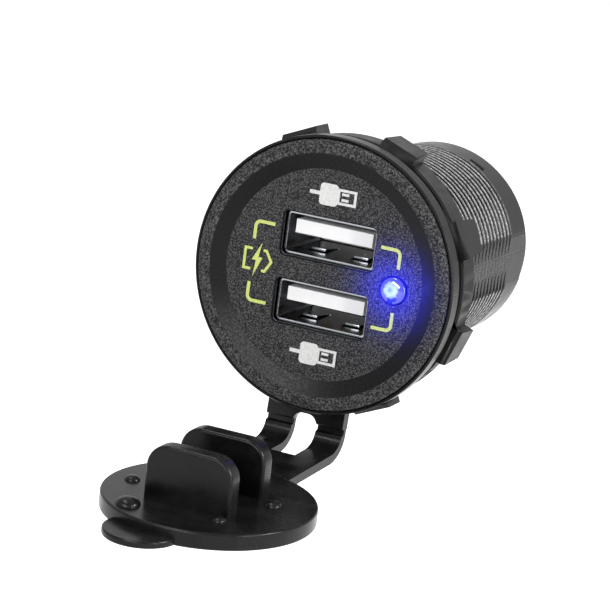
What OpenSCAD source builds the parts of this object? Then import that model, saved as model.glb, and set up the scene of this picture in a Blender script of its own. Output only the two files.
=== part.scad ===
// Panel-mount dual charging socket with a tethered rubber cap, in millimetres.
// The origin is the centre of the flange's back face, where it meets the panel.
// +Y runs back along the barrel, the face looks along -Y and +Z is up.

/* [Flange and face] */
// How far the flange reaches past the barrel, on the panel's face
flange_out = 4.6; // [4:0.1:6]
// Thickness of the flange behind the face plate
flange_t = 0.9; // [0.7:0.05:1.4]
// Width of the thin lip round the face plate
lip_w = 0.45; // [0.3:0.05:0.8]
// Height of the lip above the flange
lip_h = 1.3; // [0.8:0.1:1.6]
// Thickness of the face plate under its recess
plate_t = 0.9; // [0.7:0.05:1.2]
// Depth of the recess in the face plate
recess_depth = 0.9; // [0.5:0.05:1.4]
// Width of the flat rim round the face plate
rim_w = 1.75; // [1.2:0.05:2.4]
// Width of the sloping band round the recess floor
slope_w = 2.2; // [1:0.1:2.6]
// Distance from the recess floor back to the front edge of a port's shell
shell_setback = 1.2; // [0.9:0.1:1.6]
// Distance between the middles of the two ports
port_pitch = 9.1; // [8.4:0.1:9.6]

/* [Ports] */
// Inside width of a port's metal shell
port_w = 12.5; // [12.3:0.05:12.7]
// Inside height of a port's metal shell
port_h = 5.12; // [4.9:0.02:5.3]
// Thickness of the shell's sheet
sheet_t = 0.3; // [0.25:0.05:0.4]
// Length of the shell
shell_len = 14; // [12:0.5:16]
// Outer corner radius of the shell
shell_corner_r = 0.7; // [0.5:0.05:0.9]
// Gap beside the tongue, on each side
tongue_side_gap = 0.7; // [0.5:0.05:0.9]
// Thickness of the tongue
tongue_t = 1.84; // [1.6:0.02:2]
// Gap between the tongue and the shell above it
tongue_gap = 0.8; // [0.7:0.05:1]
// Distance from the shell's front edge back to the tongue's tip
tongue_setback = 0.8; // [0.4:0.1:1.2]
// Width of one contact strip
contact_w = 1; // [0.8:0.05:1.2]
// Thickness of one contact strip
contact_t = 0.2; // [0.15:0.05:0.3]

/* [Lamp and marks] */
// Web between a port's opening and the indicator's hole
lamp_web = 1.5; // [1:0.05:2]
// Web between the indicator and the bore of the barrel
lamp_edge = 0.25; // [0.2:0.05:1]
// Diameter of the indicator's dome
lamp_d = 3.7; // [3:0.1:4.2]
// Thickness of the printed ink
ink_t = 0.06; // [0.05:0.01:0.1]
// Width of a printed line
line_w = 0.45; // [0.3:0.05:0.6]
// Half the width of the printed bracket frame
frame_half_w = 10.4; // [9:0.1:10.8]
// Half the height of the printed bracket frame
frame_half_h = 5.35; // [4.6:0.05:6]
// Distance of the plug marks from the middle of the face
plug_mark_z = 10.7; // [10.3:0.1:11]

/* [Barrel] */
// Wall of the barrel at the front
barrel_wall = 1.7; // [1.5:0.1:2.2]
// How deep each of the two flats is cut
flat_depth = 0.55; // [0.4:0.05:0.7]
// Length of the plain band behind the thread
plain_band = 5.8; // [4.5:0.1:9]
// How much lower the plain band lies than the crests of the thread
band_relief = 0.15; // [0.1:0.05:0.3]
// Distance from one thread groove to the next
thread_pitch = 1.25; // [1:0.05:1.5]
// Depth of the thread grooves
thread_depth = 0.5; // [0.35:0.05:0.6]
// Width of the step that the round board rests on
board_step = 0.6; // [0.4:0.1:1]

/* [Ring nut] */
// Length of the ring nut
nut_len = 4.9; // [4.5:0.1:8]
// Wall of the nut's sleeve
nut_wall = 3.8; // [3:0.1:4]
// How far the nut's front collar stands out from the sleeve
collar_out = 0.3; // [0.2:0.05:0.6]
// Thickness of the nut's front collar
nut_collar_t = 0.6; // [0.4:0.05:1]
// How far the grip lugs stand out from the sleeve
lug_out = 1.25; // [0.8:0.05:2]
// Number of grip lugs
lug_count = 8; // [6:1:10]
// Width of a grip lug at its front end
lug_w = 5.2; // [4:0.1:6]
// How much narrower a grip lug is at its rear end
lug_taper = 0.8; // [0:0.1:1.2]
// Bevel along the front edge of a grip lug
lug_bevel = 0.55; // [0.3:0.05:0.7]
// Turn of the nut on the thread, from the horizontal to a lug
nut_turn = 24; // [0:1:44]
// Depth of the hollow in the rear face of the nut
nut_core_depth = 2.6; // [1:0.1:3.4]
// Running gap between the nut and what it turns on
nut_gap = 0.2; // [0.15:0.01:0.25]

/* [Rubber cap] */
// Width of the cap's ring, held between flange and panel
cap_ring_w = 3.9; // [2.5:0.1:4.2]
// Thickness of the cap's ring
cap_ring_t = 1.8; // [1.5:0.1:2.4]
// Width of the strap
strap_w = 11.4; // [10:0.1:13]
// Width of the slot down the middle of the strap
strap_slot_w = 3.2; // [2:0.1:3.6]
// Thickness of the strap
strap_t = 1.3; // [1.1:0.05:1.5]
// Distance from the flange's edge down to the start of the bend
leg_below = 2.9; // [2.2:0.1:5]
// Radius of the bend, at the middle of the strap
bend_r = 3.5; // [3:0.1:4.5]
// Width of the groove that the strap flexes at
flex_groove_w = 0.95; // [0.5:0.05:1.2]
// Gap between the closed disc and the edge of the recess floor
disc_gap = 0.3; // [0.1:0.05:1]
// Thickness of the disc
disc_t = 2.2; // [1.8:0.1:2.8]
// Slope of the open lid, front edge down
lid_tilt = 3.3; // [0:0.1:8]
// Gap at each end of a prong inside its port
prong_gap = 0.25; // [0.1:0.05:0.6]
// Thickness of a prong
prong_t = 2.5; // [2:0.1:3.2]
// Height of a prong
prong_h = 7.2; // [5:0.1:9]
// Radius of a prong's upper corners
prong_corner_r = 3; // [1.5:0.1:4]
// Radius of the finger tab
tab_r = 6; // [4:0.1:7]
// Thickness of the finger tab
tab_t = 1.1; // [0.8:0.05:1.6]

/* [Back and circuit] */
// Thickness of the rear cover's flange
cover_t = 1.2; // [1:0.1:2]
// Depth of the rear cover's plug inside the barrel
plug_depth = 3; // [2:0.1:5]
// Width of a terminal blade
blade_w = 6.3; // [6:0.05:6.5]
// Thickness of a terminal blade
blade_t = 0.8; // [0.7:0.05:1]
// Length of a terminal blade behind the cover
blade_out = 8.2; // [7:0.1:12]
// Distance between the two terminal blades
blade_pitch = 11; // [10:0.1:13]
// Diameter of the hole in a terminal blade
blade_hole_d = 1.6; // [1.2:0.1:2.2]
// Thickness of the circuit boards
board_t = 1.6; // [1.2:0.1:1.8]
// Outer diameter of the ring core
core_d = 9; // [8:0.1:9.4]
// Height of the ring core
core_h = 4; // [3:0.1:5]
// Thickness of the winding's wire
wire_t = 0.55; // [0.4:0.05:0.7]
// Number of turns on the core
turn_count = 14; // [8:1:18]
// Diameter of the input capacitor
in_can_d = 6.3; // [5:0.1:8]
// Height of the input capacitor
in_can_h = 7.7; // [5:0.1:9]
// Diameter of the output capacitor
out_can_d = 5; // [4:0.1:5.4]
// Height of the output capacitor
out_can_h = 7; // [5:0.1:9]
// Gap between neighbouring parts on the power board
part_gap = 0.6; // [0.3:0.05:1]
// Free space between the power board and the rear cover
board_clear = 0.9; // [0.5:0.1:2]
// Length of the pins behind the front board
pin_tail = 2.4; // [1.5:0.1:3]

/* [Hidden] */
$fn = 96;
tiny = 0.01;
fit = 0.1;

open_w = port_w + 2 * sheet_t + 2 * fit;
open_h = port_h + 2 * sheet_t + fit;
lamp_r = lamp_d / 2;
lamp_x = open_w / 2 + lamp_web + fit + lamp_r;
bore_r = lamp_x + lamp_r + lamp_edge;
barrel_r = bore_r + barrel_wall;
root_r = barrel_r - thread_depth;
band_r = barrel_r - band_relief;
rear_bore_r = bore_r - board_step;
flat_x = barrel_r - flat_depth;
flange_r = barrel_r + flange_out;
lip_in_r = flange_r - lip_w;
plate_r = lip_in_r - fit;
slope_r = plate_r - rim_w;
recess_r = slope_r - slope_w;
floor_y = -flange_t;
recess_y = floor_y - plate_t;
rim_y = recess_y - recess_depth;
lip_y = floor_y - lip_h;

shell_w = port_w + 2 * sheet_t;
tongue_w = port_w - 2 * tongue_side_gap;
shell_h = port_h + 2 * sheet_t;
shell_y = recess_y + shell_setback;
board_y = shell_y + shell_len;
board_end = board_y + board_t;
tongue_y = shell_y + tongue_setback;
tongue_rise = port_h / 2 - tongue_gap - tongue_t / 2;
base_len = 3;
contact_xs = [-3.5, -1, 1, 3.5];
lamp_len = 5;
lead_t = 0.5;
lead_half_pitch = 0.9;
lead_out = 0.8;

core_r = core_d / 2;
core_in_r = core_r / 2;
coil_r = core_r + wire_t;
board_len = 2 * coil_r + in_can_d + 3 * part_gap;
board_back = board_end + board_len;
plug_y = board_back + board_clear;
barrel_len = plug_y + plug_depth;
cover_y = barrel_len + cover_t;
thread_end = barrel_len - plain_band;
board_top = -blade_w / 2;
board_bottom = board_top - board_t;
board_half_w = sqrt(pow(rear_bore_r - fit, 2) - pow(board_bottom, 2));
blade_front = board_back - 2.5;
blade_back = cover_y + blade_out;
blade_x = blade_pitch / 2;

groove_top_w = 0.8 * thread_pitch;
groove_root_w = 0.2 * thread_pitch;
nut_y = cap_ring_t + fit;
nut_end = nut_y + nut_len;
nut_in_r = barrel_r + nut_gap;
nut_r = nut_in_r + nut_wall;
groove_count = floor((thread_end - nut_y) / thread_pitch);
groove_ys = [for (k = [groove_count - 1 : -1 : 0]) thread_end - (k + 0.5) * thread_pitch];
nut_ys = [for (y = groove_ys)
    if (y > nut_y + thread_pitch && y < nut_end - thread_pitch) y];

cap_in_r = barrel_r + fit;
cap_out_r = cap_in_r + cap_ring_w;
leg_drop = flange_r + leg_below;
leg_w = (strap_w - strap_slot_w) / 2;
leg_x = (strap_w + strap_slot_w) / 4;
leg_y = cap_ring_t / 2;
bend_y = leg_y - bend_r;
lead_in = 1;
pole_y = bend_y - lead_in;
pole_z = -leg_drop - bend_r;
pole_gap = 0.25;
lid_reach = -pole_z;
disc_r = recess_r - disc_gap;
disc_top = recess_y - pole_y - 0.06;
disc_bottom = disc_top - disc_t;
strap_slot_end = 2.2;
prong_offset = port_pitch / 2;
prong_w = port_w - 2 * prong_gap;

// Shape helpers

module turned(sides = 128) {
    rotate([-90, 0, 0]) rotate_extrude($fn = sides) children();
}

module rod(r, from_y, to_y) {
    translate([0, from_y, 0]) rotate([-90, 0, 0]) cylinder(r = r, h = to_y - from_y);
}

// Turns a drawing in X and Z into a plate between two depths.
module drawn(from_y, to_y) {
    translate([0, to_y, 0]) rotate([90, 0, 0]) linear_extrude(to_y - from_y) children();
}

// Turns a drawing in Y and Z into a plate across X.
module across(width) {
    rotate([90, 0, 90]) translate([0, 0, -width / 2]) linear_extrude(width) children();
}

module round_rect(w, h, r) {
    square([w - 2 * r, h], center = true);
    square([w, h - 2 * r], center = true);
    for (x = [-1, 1], z = [-1, 1])
        translate([x * (w / 2 - r), z * (h / 2 - r)]) circle(r = r, $fn = 32);
}

// A shallow dome on a short stem that roots it in what carries it
module dome(base_r, height) {
    ball_r = (pow(base_r, 2) + pow(height, 2)) / (2 * height);
    stem = 0.3;
    intersection() {
        translate([0, 0, height - ball_r]) sphere(r = ball_r);
        cylinder(r = base_r, h = 2 * height);
    }
    translate([0, 0, -stem]) cylinder(r = base_r, h = stem);
}

module port_place(side) {
    translate([0, 0, side * port_pitch / 2]) children();
}

// The housing: cup flange and threaded tube in one moulding

function groove_points(y) = [
    [barrel_r, y - groove_top_w / 2], [root_r, y - groove_root_w / 2],
    [root_r, y + groove_root_w / 2], [barrel_r, y + groove_top_w / 2]];

module barrel_tube() {
    edge = 0.4;
    turned() polygon([
        [bore_r, floor_y], [barrel_r, floor_y],
        for (y = groove_ys, p = groove_points(y)) p,
        [barrel_r, thread_end], [band_r, thread_end + band_relief],
        [band_r, barrel_len - edge], [band_r - edge, barrel_len],
        [rear_bore_r, barrel_len], [rear_bore_r, board_end], [bore_r, board_end]]);
}

module barrel_flange() {
    edge = 0.15;
    turned() polygon([
        [bore_r, floor_y], [lip_in_r, floor_y], [lip_in_r, lip_y + edge],
        [lip_in_r + edge, lip_y], [flange_r - edge, lip_y], [flange_r, lip_y + edge],
        [flange_r, -edge], [flange_r - edge, 0], [bore_r, 0]]);
}

module run_out_pocket() {
    pocket_depth = 0.6;
    rotate([0, -63, 0])
        translate([barrel_r, thread_end + 1.5, 0])
            cube([2 * pocket_depth, 1.1, 2.4], center = true);
}

module barrel() color("#26272a") {
    barrel_flange();
    difference() {
        intersection() {
            barrel_tube();
            translate([-flat_x, floor_y, -2 * barrel_r])
                cube([2 * flat_x, barrel_len - floor_y, 4 * barrel_r]);
        }
        run_out_pocket();
        for (side = [0, 180]) rotate([0, side, 0]) lug_windows();
    }
}

// Face plate with its recess, slots and snap lugs

snap_hook_y = 2.6;
snap_hook_t = 0.8;
snap_span = 4.4;
snap_angles = [45, 135];

module lug_windows() {
    for (a = snap_angles)
        rotate([0, -a, 0])
            translate([bore_r - 0.5 + barrel_wall / 4, snap_hook_y + snap_hook_t / 2, 0])
                cube([barrel_wall / 2 + 1, snap_hook_t + 2 * fit, snap_span + 0.6], center = true);
}

module snap_lug() {
    snap_in = bore_r - 0.95;
    snap_out = bore_r - 0.1;
    hook_out = bore_r + 0.35;
    intersection() {
        turned(96) polygon([
            [snap_in, floor_y - tiny], [snap_out, floor_y - tiny], [snap_out, snap_hook_y],
            [hook_out, snap_hook_y], [snap_out, snap_hook_y + snap_hook_t],
            [snap_out, snap_hook_y + 1.2], [snap_in, snap_hook_y + 1.2]]);
        translate([bore_r, 0, 0]) cube([bore_r, 4 * snap_hook_y, snap_span], center = true);
    }
}

module slot_bevel() {
    bevel = 0.25;
    hull() {
        drawn(recess_y - tiny, recess_y)
            round_rect(open_w + 2 * bevel, open_h + 2 * bevel, shell_corner_r + bevel);
        drawn(recess_y + bevel, recess_y + bevel + tiny)
            round_rect(open_w, open_h, shell_corner_r);
    }
}

module face_plate() color("#3b3c3f") {
    edge = 0.3;
    difference() {
        turned() polygon([
            [0, floor_y], [0, recess_y], [recess_r, recess_y], [slope_r, rim_y],
            [plate_r - edge, rim_y], [plate_r, rim_y + edge], [plate_r, floor_y]]);
        for (side = [-1, 1]) port_place(side) {
            drawn(recess_y - 1, 0) round_rect(open_w, open_h, shell_corner_r);
            slot_bevel();
        }
        translate([lamp_x, 0, 0]) rod(lamp_r + fit, recess_y - 1, 0);
    }
    for (a = snap_angles, half = [0, 180]) rotate([0, half - a, 0]) snap_lug();
}

// Ring nut with grip lugs and its own thread

function ridge_points(y) = [
    [nut_in_r, y + groove_top_w / 2], [root_r + nut_gap, y + groove_root_w / 2],
    [root_r + nut_gap, y - groove_root_w / 2], [nut_in_r, y - groove_top_w / 2]];

module nut_sleeve() {
    edge = 0.25;
    turned() polygon([
        [nut_in_r, nut_y], [nut_r + collar_out - edge, nut_y],
        [nut_r + collar_out, nut_y + edge],
        [nut_r + collar_out, nut_y + nut_collar_t], [nut_r, nut_y + nut_collar_t],
        [nut_r, nut_end - edge], [nut_r - edge, nut_end], [nut_in_r, nut_end],
        for (k = [len(nut_ys) - 1 : -1 : 0], p = ridge_points(nut_ys[k])) p]);
}

// A lug narrows towards the rear and has a bevelled front edge.
module grip_lug() {
    seat_r = nut_r - nut_wall / 4;
    top_r = nut_r + lug_out;
    rear_w = lug_w - lug_taper;
    intersection() {
        translate([0, 0, -lug_w]) linear_extrude(2 * lug_w) polygon([
            [seat_r, nut_y], [top_r - lug_bevel, nut_y], [top_r, nut_y + lug_bevel],
            [top_r, nut_end], [seat_r, nut_end]]);
        rotate([90, 0, 90]) linear_extrude(2 * top_r) polygon([
            [nut_y - 1, -lug_w / 2], [nut_y, -lug_w / 2], [nut_end, -rear_w / 2],
            [nut_end, rear_w / 2], [nut_y, lug_w / 2], [nut_y - 1, lug_w / 2]]);
    }
}

// The thick wall is hollowed from the rear, with a web left under every lug.
module nut_core() {
    skin = 1.1;
    web_w = lug_w - 2 * skin;
    difference() {
        turned() polygon([
            [nut_in_r + skin, nut_end - nut_core_depth], [nut_r - skin, nut_end - nut_core_depth],
            [nut_r - skin, nut_end + 1], [nut_in_r + skin, nut_end + 1]]);
        at_lugs() translate([0, 0, -web_w / 2]) cube([nut_r, nut_end + 2, web_w]);
    }
}

module at_lugs() {
    for (k = [0 : lug_count - 1])
        rotate([0, -nut_turn - k * 360 / lug_count, 0]) children();
}

module ring_nut() color("#2e2f31") {
    difference() {
        nut_sleeve();
        nut_core();
    }
    at_lugs() grip_lug();
}

// Rubber cap: ring with the bend, and the lid that swings

// Both halves of the bend: straight drop, quarter turn and short lead to the pole.
module bend_profile() {
    half = strap_t / 2;
    difference() {
        union() {
            translate([bend_y, -leg_drop]) difference() {
                circle(r = bend_r + half, $fn = 96);
                circle(r = bend_r - half, $fn = 96);
                translate([-2 * bend_r, 0]) square([4 * bend_r, 2 * bend_r]);
                translate([-2 * bend_r, -2 * bend_r]) square([2 * bend_r, 4 * bend_r]);
            }
            translate([pole_y, pole_z - half]) square([lead_in, strap_t]);
        }
        translate([pole_y, pole_z]) circle(r = half + pole_gap, $fn = 48);
    }
}

module cap_ring() color("#1b1c1e") {
    slot_top = flange_r + 0.8;
    groove_top = leg_drop - flex_groove_w;
    groove_skin = 0.5;
    difference() {
        union() {
            rod(cap_out_r, 0, cap_ring_t);
            drawn(0, cap_ring_t) translate([-strap_w / 2, -groove_top])
                square([strap_w, groove_top - barrel_r]);
        }
        rod(cap_in_r, -1, cap_ring_t + 1);
        drawn(-1, cap_ring_t + 1) union() {
            translate([-strap_slot_w / 2, -leg_drop - 1])
                square([strap_slot_w, leg_drop + 1 - slot_top - strap_slot_w / 2]);
            translate([0, -slot_top - strap_slot_w / 2]) circle(d = strap_slot_w, $fn = 48);
        }
    }
    translate([0, leg_y - strap_t / 2 + groove_skin, 0])
        for (side = [-1, 1]) translate([side * leg_x - leg_w / 2, 0, -leg_drop])
            cube([leg_w, strap_t - groove_skin, flex_groove_w]);
    for (side = [-1, 1]) translate([side * leg_x, 0, 0]) across(leg_w) bend_profile();
}

module prong() {
    upright = prong_h + disc_t / 2;
    translate([0, prong_t / 2, disc_top - disc_t / 2]) rotate([90, 0, 0])
        linear_extrude(prong_t) {
            translate([-prong_w / 2, 0]) square([prong_w, upright - prong_corner_r]);
            translate([-prong_w / 2 + prong_corner_r, 0])
                square([prong_w - 2 * prong_corner_r, upright]);
            for (side = [-1, 1])
                translate([side * (prong_w / 2 - prong_corner_r), upright - prong_corner_r])
                    circle(r = prong_corner_r, $fn = 48);
        }
}

// Low moulded bumps on the disc: distance across, distance forward and radius.
nubs = [[-10.4, 1, 1], [-6.5, 9.4, 1.6], [5, 7.3, 0.9], [7.8, -2.2, 1.1]];

module disc_nubs() {
    for (nub = nubs)
        translate([nub[0], -nub[1], disc_top]) dome(nub[2], 0.45 * nub[2]);
}

// The lid lies along -Y from its pole, which is the origin here.
module lid_shape() {
    edge = 0.25;
    translate([0, -lid_reach, 0]) {
        rotate_extrude($fn = 128) polygon([
            [0, disc_bottom], [disc_r - edge, disc_bottom], [disc_r, disc_bottom + edge],
            [disc_r, disc_top - edge], [disc_r - edge, disc_top], [0, disc_top]]);
        translate([0, -disc_r, disc_bottom]) cylinder(r = tab_r, h = tab_t);
        for (side = [-1, 1]) translate([0, side * prong_offset, 0]) prong();
        disc_nubs();
    }
    strap_len = lid_reach - disc_r + 1.5;
    difference() {
        union() {
            translate([-strap_w / 2, -strap_len, -strap_t / 2])
                cube([strap_w, strap_len, strap_t]);
            across(strap_w) circle(d = strap_t, $fn = 48);
        }
        translate([-strap_slot_w / 2, -strap_slot_end + strap_slot_w / 2, -strap_t])
            cube([strap_slot_w, strap_slot_end + strap_t, 2 * strap_t]);
        translate([0, -strap_slot_end + strap_slot_w / 2, -strap_t])
            cylinder(d = strap_slot_w, h = 2 * strap_t, $fn = 48);
    }
}

module cap_lid() color("#1b1c1e") {
    translate([0, pole_y, pole_z]) rotate([lid_tilt, 0, 0]) lid_shape();
}

// A port: metal shell, insulating tongue and four contacts

window_start = 2.8;
window_len = 5;

module usb_shell() color("#b9bcc0") {
    window_w = 2.7;
    finger_x = 3.1;
    difference() {
        drawn(shell_y, board_y) round_rect(shell_w, shell_h, shell_corner_r);
        drawn(shell_y - 1, board_y + 1)
            round_rect(port_w, port_h, shell_corner_r - sheet_t);
        for (x = [-finger_x, finger_x])
            translate([x - window_w / 2, shell_y + window_start, -shell_h])
                cube([window_w, window_len, 2 * shell_h]);
    }
    for (x = [-finger_x, finger_x], flip = [0, 180])
        rotate([0, flip, 0])
            translate([x, 0, shell_h / 2]) finger_at_root();
}

// The finger is rooted behind its window and leans into the port in front.
module finger_at_root() {
    finger_w = 2;
    finger_len = 4.4;
    lean = 5.5;
    translate([0, shell_y + window_start + window_len + fit, -sheet_t])
        rotate([lean, 0, 0])
            translate([-finger_w / 2, -finger_len, 0]) cube([finger_w, finger_len, sheet_t]);
}

module contact_strips(grow = 0) {
    for (x = contact_xs)
        translate([x - contact_w / 2 - grow, tongue_y + 1, tongue_rise - tongue_t / 2 - contact_t - grow])
            cube([contact_w + 2 * grow, board_end - tongue_y - 1, contact_t + 2 * grow]);
}

module usb_tongue() color("#ececec") {
    difference() {
        union() {
            translate([-tongue_w / 2, tongue_y, tongue_rise - tongue_t / 2])
                cube([tongue_w, board_y - tongue_y, tongue_t]);
            drawn(board_y - base_len, board_y)
                round_rect(port_w - 2 * fit, port_h - 2 * fit, shell_corner_r - sheet_t);
        }
        translate([0, 0, -contact_t]) contact_strips(contact_t / 4);
        contact_strips();
    }
}

module usb_contacts() color("#c9a24a") contact_strips();

// Indicator and print on the face

module indicator_led() color("#3b62ff") {
    dome_out = 0.75;
    translate([lamp_x, 0, 0]) {
        rod(lamp_r, recess_y, recess_y + lamp_len);
        translate([0, recess_y, 0]) rotate([90, 0, 0]) dome(lamp_r, dome_out);
    }
}

module lead_pair(grow = 0) {
    lead_y = recess_y + lamp_len;
    for (side = [-1, 1])
        translate([lamp_x, (lead_y + board_end + lead_out) / 2, side * lead_half_pitch])
            cube([lead_t + 2 * grow, board_end + lead_out - lead_y, lead_t + 2 * grow],
                center = true);
}

module led_leads() color("#c4c6c8") lead_pair();

module ink() {
    drawn(recess_y - ink_t, recess_y) children();
}

// One corner of the printed frame, with a rounded bend
module bracket(arm_x, arm_z) {
    bend = 0.7;
    translate([-bend, -bend]) intersection() {
        difference() {
            circle(r = bend + line_w / 2, $fn = 48);
            circle(r = bend - line_w / 2, $fn = 48);
        }
        square(2 * bend);
    }
    translate([-arm_x, -line_w / 2]) square([arm_x - bend, line_w]);
    translate([-line_w / 2, -arm_z]) square([line_w, arm_z - bend]);
}

module bracket_marks() color("#c8d23c") {
    ink() for (side = [0, 1], level = [0, 1])
        mirror([side, 0]) mirror([0, level])
            translate([frame_half_w, frame_half_h]) bracket(2.75, 2.45);
}

// A battery cell with a pointed end, drawn smaller by an inset
module cell(inset) {
    left = 2 - inset;
    top = 1.55 - inset;
    shoulder = 1.35 - inset / 2;
    point = 2.3 - 1.2 * inset;
    polygon([[-left, -top], [shoulder, -top], [point, 0], [shoulder, top], [-left, top]]);
}

// The cell's outline, open where the bolt crosses it
module charge_mark() color("#c8d23c") {
    gap_w = 1.6;
    ink() translate([-frame_half_w + 0.75, 0.2]) {
        difference() {
            cell(0);
            cell(0.8 * line_w);
            square([gap_w, 4], center = true);
        }
        polygon([[0.5, 2.35], [-0.75, -0.1], [-0.15, -0.1],
            [-0.4, -2.3], [0.75, 0.35], [0.15, 0.35]]);
    }
}

// A plain plug seen from the side: cable, grip and metal end
module plug_outline() {
    unit = line_w / 0.45;
    scale([unit, unit]) {
        translate([-3.35, -0.25]) square([1.6, 0.5]);
        translate([-0.6, 0]) round_rect(2.6, 2.9, 0.5);
        difference() {
            translate([0.7, -1.05]) square([2.65, 2.1]);
            translate([0.95, -0.7]) square([2.05, 1.4]);
        }
        for (z = [-0.38, 0.38]) translate([1.75, z]) square([1, 0.35], center = true);
    }
}

module plug_marks() color("#e8e8e6") {
    ink() for (side = [-1, 1]) translate([0, side * plug_mark_z]) plug_outline();
}

// Boards and parts sealed inside the barrel

pin_pitch = 2.54;

module pin_row(grow = 0) {
    for (k = [0 : 3])
        translate([1.5 - board_half_w + k * pin_pitch, board_y, board_top])
            translate([-lead_t / 2 - grow, 0, -grow])
                cube([lead_t + 2 * grow, board_t + pin_tail, lead_t + 2 * grow]);
}

module board_pins() color("#c9a24a") pin_row();

module front_board() color("#1f6b3c") {
    difference() {
        rod(bore_r - fit, board_y, board_end);
        for (side = [-1, 1]) port_place(side) contact_strips(fit);
        lead_pair(fit);
        pin_row(tiny);
    }
}

module power_board() color("#1f6b3c") {
    translate([-board_half_w, board_end, board_bottom])
        cube([2 * board_half_w, board_back - board_end, board_t]);
}

chip_len = 4.9;
chip_y = board_end + pin_tail + part_gap + chip_len / 2;
chip_x = -board_half_w / 2;

module control_chip() color("#2a2a2c") {
    leg_reach = 6;
    body_w = 3.9;
    translate([chip_x, chip_y, board_top]) {
        translate([-body_w / 2, -chip_len / 2, 0.15]) cube([body_w, chip_len, 1.4]);
        for (k = [-1.5 : 1 : 1.5], side = [-1, 1]) translate([0, k * 1.27, 0]) {
            translate([side * (leg_reach - 0.7) / 2, 0, 0.1]) cube([0.7, 0.4, 0.2], center = true);
            translate([side * (body_w / 2 + 0.25), 0, 0.4]) cube([0.7, 0.4, 0.8], center = true);
        }
    }
}

core_place = [board_half_w - coil_r - 2 * fit, board_end + part_gap + coil_r, board_top + wire_t];

module inductor_core() color("#55585c") {
    translate(core_place) difference() {
        cylinder(r = core_r, h = core_h);
        translate([0, 0, -1]) cylinder(r = core_in_r, h = core_h + 2);
    }
}

module inductor_winding() color("#b06a33") {
    inner_x = sqrt(pow(core_in_r, 2) - pow(wire_t / 2, 2));
    translate(core_place) for (k = [0 : turn_count - 1])
        rotate([0, 0, k * 360 / turn_count])
            rotate([90, 0, 0]) translate([0, 0, -wire_t / 2]) linear_extrude(wire_t)
                difference() {
                    translate([inner_x - wire_t, -wire_t])
                        square([core_r - inner_x + 2 * wire_t, core_h + 2 * wire_t]);
                    translate([inner_x, 0]) square([core_r - inner_x, core_h]);
                }
}

// A can capacitor standing on the power board
module can(d, h) {
    neck = 0.25;
    translate([0, 0, board_top]) rotate_extrude($fn = 48) polygon([
        [0, 0], [d / 2, 0], [d / 2, 0.8], [d / 2 - neck, 1.1], [d / 2 - neck, 1.3],
        [d / 2, 1.6], [d / 2, h - neck], [d / 2 - neck, h], [0, h]]);
}

module input_capacitor() color("#31343a") {
    translate([0, board_back - part_gap - in_can_d / 2, 0]) can(in_can_d, in_can_h);
}

module output_capacitor() color("#31343a") {
    translate([chip_x - 2 * part_gap, chip_y + chip_len / 2 + part_gap + out_can_d / 2, 0])
        can(out_can_d, out_can_h);
}

// Rear cover and terminals

module blade_shape(grow = 0) {
    tip = 0.8;
    rotate([90, 0, 90]) translate([0, 0, -blade_t / 2 - grow]) linear_extrude(blade_t + 2 * grow)
        polygon([
            [blade_front, -blade_w / 2 - grow], [blade_back - tip, -blade_w / 2 - grow],
            [blade_back, -blade_w / 2 + tip], [blade_back, blade_w / 2 - tip],
            [blade_back - tip, blade_w / 2 + grow], [blade_front, blade_w / 2 + grow]]);
}

module blade(side) {
    translate([side * blade_x, 0, 0]) difference() {
        blade_shape();
        translate([-blade_t, blade_back - 3, 0]) rotate([0, 90, 0])
            cylinder(d = blade_hole_d, h = 2 * blade_t, $fn = 32);
    }
}

module terminal_positive() color("#cfc9b0") blade(1);

module terminal_negative() color("#cfc9b0") blade(-1);

module rear_cover() color("#26272a") {
    cover_r = flat_x - 0.15;
    mark_t = 0.3;
    mark_x = blade_x + 3.6;
    difference() {
        union() {
            rod(cover_r, barrel_len, cover_y);
            rod(rear_bore_r - fit, plug_y, barrel_len);
        }
        for (side = [-1, 1]) translate([side * blade_x, 0, 0]) blade_shape(tiny);
    }
    translate([-blade_t, cover_y - tiny, -blade_w]) cube([2 * blade_t, 3 + tiny, 2 * blade_w]);
    drawn(cover_y - tiny, cover_y + mark_t) {
        translate([mark_x, 0]) square([2.4, 0.6], center = true);
        translate([mark_x, 0]) square([0.6, 2.4], center = true);
        translate([-mark_x, 0]) square([2.4, 0.6], center = true);
    }
}

barrel();
face_plate();
ring_nut();
rear_cover();
cap_ring();
cap_lid();
port_place(1) usb_shell();  // usb_shell_upper
port_place(-1) usb_shell();  // usb_shell_lower
port_place(1) usb_tongue();  // usb_tongue_upper
port_place(-1) usb_tongue();  // usb_tongue_lower
port_place(1) usb_contacts();  // usb_contacts_upper
port_place(-1) usb_contacts();  // usb_contacts_lower
indicator_led();
led_leads();
bracket_marks();
charge_mark();
plug_marks();
front_board();
power_board();
control_chip();
inductor_core();
inductor_winding();
input_capacitor();
output_capacitor();
board_pins();
terminal_positive();
terminal_negative();
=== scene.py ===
# %% [markdown]
# A dual charging socket with a rubber cap
#
# This notebook dresses the finished model of a panel-mount charging socket. The model brings every
# piece at its real size and place. Blender adds what a size can't say: eased edges, leather grain,
# satin rubber, chrome, the blue lamp and the light of a small studio.

# %% Load the model
import math

import bmesh
import bpy
from mathutils import Matrix, Vector


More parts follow.
